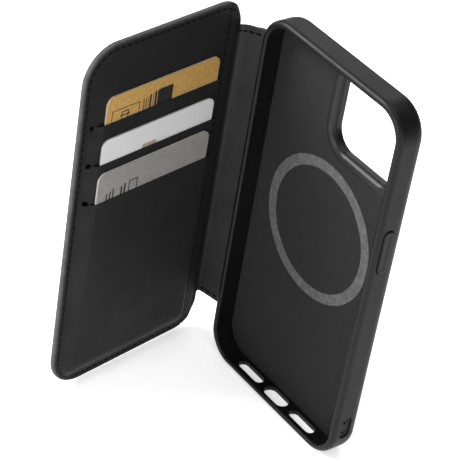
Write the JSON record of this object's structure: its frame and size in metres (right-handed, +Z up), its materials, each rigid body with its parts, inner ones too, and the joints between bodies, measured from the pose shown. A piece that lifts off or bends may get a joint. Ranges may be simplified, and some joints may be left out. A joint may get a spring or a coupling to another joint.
{
  "type": "phone wallet case",
  "caption": "Folio phone case drawn open: a moulded tray with a lined back and magnet ring, a folding leather spine, and a stitched cover with stepped card slots.",
  "frame": {"origin": "centre of the lined face in the tray that the phone's back rests on", "axes": "+Z up along the phone's long side, -Y out of the tray towards the screen side, +X towards the tray's power-button wall"},
  "size_m": [0.0942, 0.0825, 0.1516],
  "materials": {
    "tray_tpu": "soft satin moulded TPU, very fine grain",
    "frame_gloss": "smooth moulded, half gloss",
    "suede_lining": "brushed suede-touch microfibre",
    "ring_print": "lighter grey brushed microfibre band",
    "magnet_nickel": "nickel-plated magnet",
    "shunt_steel": "thin rolled steel",
    "outer_leather": "matt synthetic leather, fine grain",
    "inner_leather": "matt synthetic leather, very fine grain",
    "board": "grey-brown stiffening board",
    "thread": "black polyester thread",
    "card_gold": "gold metallic print, laminated",
    "card_silver": "silver-white print, laminated",
    "card_grey": "grey metallic print, laminated"
  },
  "bodies": {
    "shell": {"shell_tray": "tray_tpu", "camera_frame": "frame_gloss", "seat_lining": "suede_lining", "ring_band": "ring_print", "ring_magnets": "magnet_nickel", "ring_shunt": "shunt_steel", "alignment_magnet": "magnet_nickel", "rear_leather": "outer_leather"},
    "power_button": {"power_button": "tray_tpu"},
    "volume_up_button": {"volume_up_button": "tray_tpu"},
    "volume_down_button": {"volume_down_button": "tray_tpu"},
    "action_button": {"action_button": "tray_tpu"},
    "spine": {"spine_leather": "outer_leather", "spine_stiffener": "board", "spine_lining": "inner_leather", "spine_thread": "thread"},
    "cover": {"cover_leather": "outer_leather", "cover_board": "board", "cover_lining": "inner_leather", "pocket_upper": "inner_leather", "pocket_middle": "inner_leather", "pocket_lower": "inner_leather", "cover_thread": "thread"},
    "card_upper": {"card_upper": "card_gold"},
    "card_middle": {"card_middle": "card_silver"},
    "card_lower": {"card_lower": "card_grey"}
  },
  "joints": [
    {"name": "spine_fold", "type": "hinge", "parent": "shell", "child": "spine", "pos_m": [-0.0402, 0.002, 0], "axis": [0, 0, 1], "range_deg": [-112, 68]},
    {"name": "cover_fold", "type": "hinge", "parent": "spine", "child": "cover", "pos_m": [-0.05541, -0.00414, 0], "axis": [0, 0, 1], "range_deg": [-167, 13]},
    {"name": "power_button_press", "type": "slide", "parent": "shell", "child": "power_button", "axis": [-1, 0, 0], "range_m": [0, 0.0004], "stiffness_N_per_m": 1500, "springref_m": -0.0002},
    {"name": "volume_up_button_press", "type": "slide", "parent": "shell", "child": "volume_up_button", "axis": [1, 0, 0], "range_m": [0, 0.0004], "stiffness_N_per_m": 1500, "springref_m": -0.0002},
    {"name": "volume_down_button_press", "type": "slide", "parent": "shell", "child": "volume_down_button", "axis": [1, 0, 0], "range_m": [0, 0.0004], "stiffness_N_per_m": 1500, "springref_m": -0.0002},
    {"name": "action_button_press", "type": "slide", "parent": "shell", "child": "action_button", "axis": [1, 0, 0], "range_m": [0, 0.0004], "stiffness_N_per_m": 1500, "springref_m": -0.0002},
    {"name": "card_upper_pull", "type": "slide", "parent": "cover", "child": "card_upper", "axis": [0, 0, 1], "range_m": [0, 0.07]},
    {"name": "card_middle_pull", "type": "slide", "parent": "cover", "child": "card_middle", "axis": [0, 0, 1], "range_m": [0, 0.07]},
    {"name": "card_lower_pull", "type": "slide", "parent": "cover", "child": "card_lower", "axis": [0, 0, 1], "range_m": [0, 0.07]}
  ]
}
